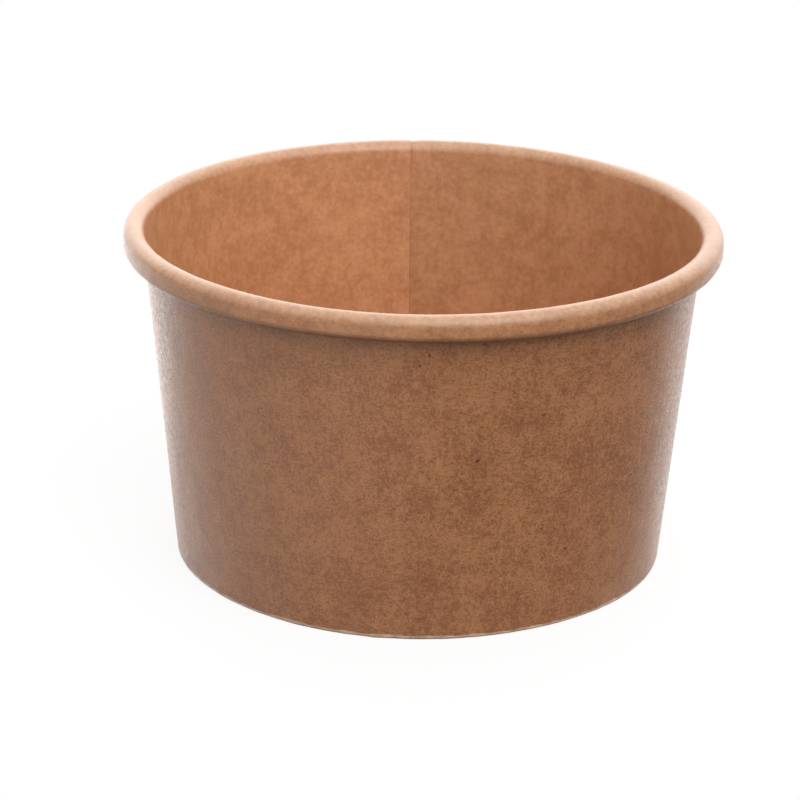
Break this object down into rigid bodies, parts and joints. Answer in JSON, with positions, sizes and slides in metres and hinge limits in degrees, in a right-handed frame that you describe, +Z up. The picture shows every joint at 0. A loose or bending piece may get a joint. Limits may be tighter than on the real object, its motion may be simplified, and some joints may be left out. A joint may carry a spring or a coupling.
{
  "type": "paper ice cream tub",
  "caption": "Open round paper tub in brown board, tapered, with a rolled rim, a lapped side seam and a recessed base.",
  "frame": {"origin": "centre of the foot, on the surface that the tub stands on", "axes": "+Z up along the axis of the tub; +Y towards the side seam, which is at the back of the pictured view"},
  "size_m": [0.096, 0.096, 0.0555],
  "materials": {
    "wall_board": "satin",
    "base_board": "satin"
  },
  "bodies": {
    "root": {"side_wall": "wall_board", "base_disc": "base_board"}
  },
  "joints": []
}
